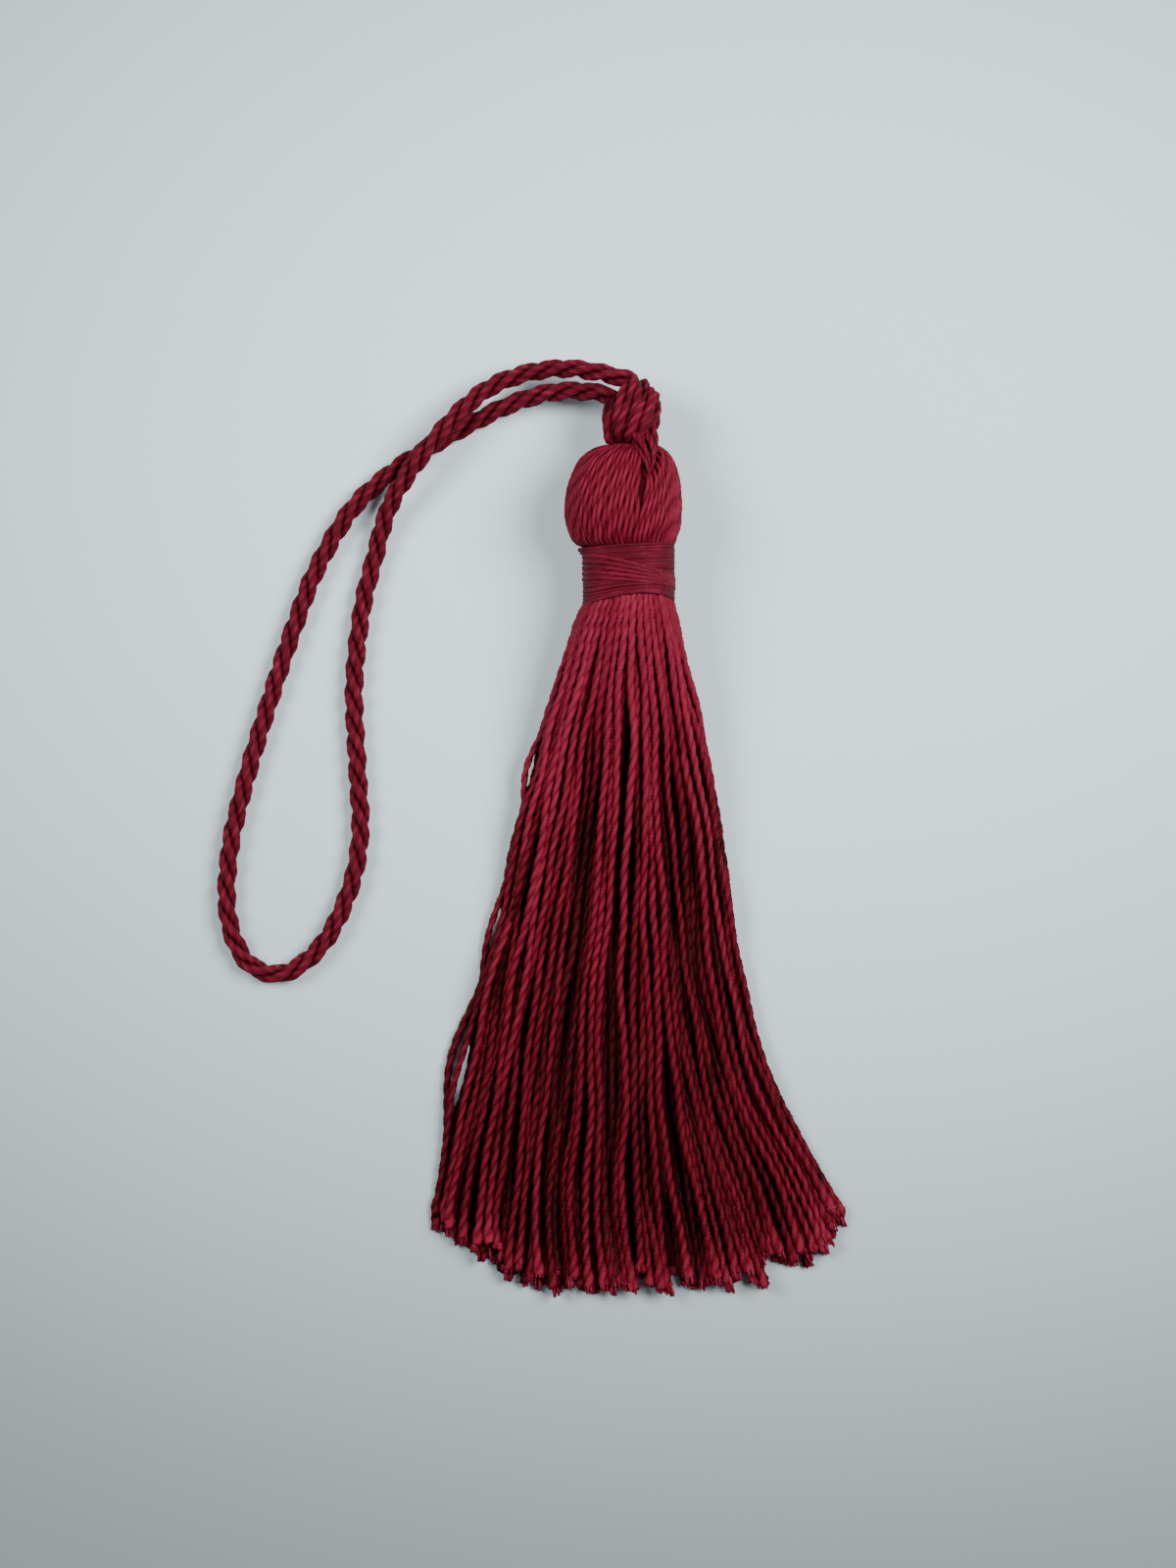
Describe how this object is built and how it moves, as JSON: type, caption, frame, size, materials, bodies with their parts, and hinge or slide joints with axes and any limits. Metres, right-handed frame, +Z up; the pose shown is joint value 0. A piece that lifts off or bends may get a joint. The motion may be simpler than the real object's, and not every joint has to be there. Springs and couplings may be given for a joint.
{
  "type": "yarn tassel with a twisted hanging loop",
  "caption": "Silky yarn tassel lying flat: round folded head, wound neck wrap, fanned skirt of loose threads and a knotted twisted cord loop.",
  "frame": {"origin": "on the floor, at the flat resting spot under the fattest part of the tassel's head", "axes": "+Y from the skirt's tips towards the knot and along the tassel's length, +Z up through its thickness, +X across the skirt; the loop lies on the -X side"},
  "size_m": [0.0613, 0.0907, 0.0108],
  "materials": {
    "silky_yarn": "satin two-ply floss, burgundy",
    "wrap_yarn": "tightly wound satin floss, darker burgundy",
    "twisted_cord": "three-ply twisted satin cord, burgundy"
  },
  "bodies": {
    "root": {"yarn_bundle": "silky_yarn", "neck_wrap": "wrap_yarn", "knot": "twisted_cord", "hanging_cord": "twisted_cord"}
  },
  "joints": []
}
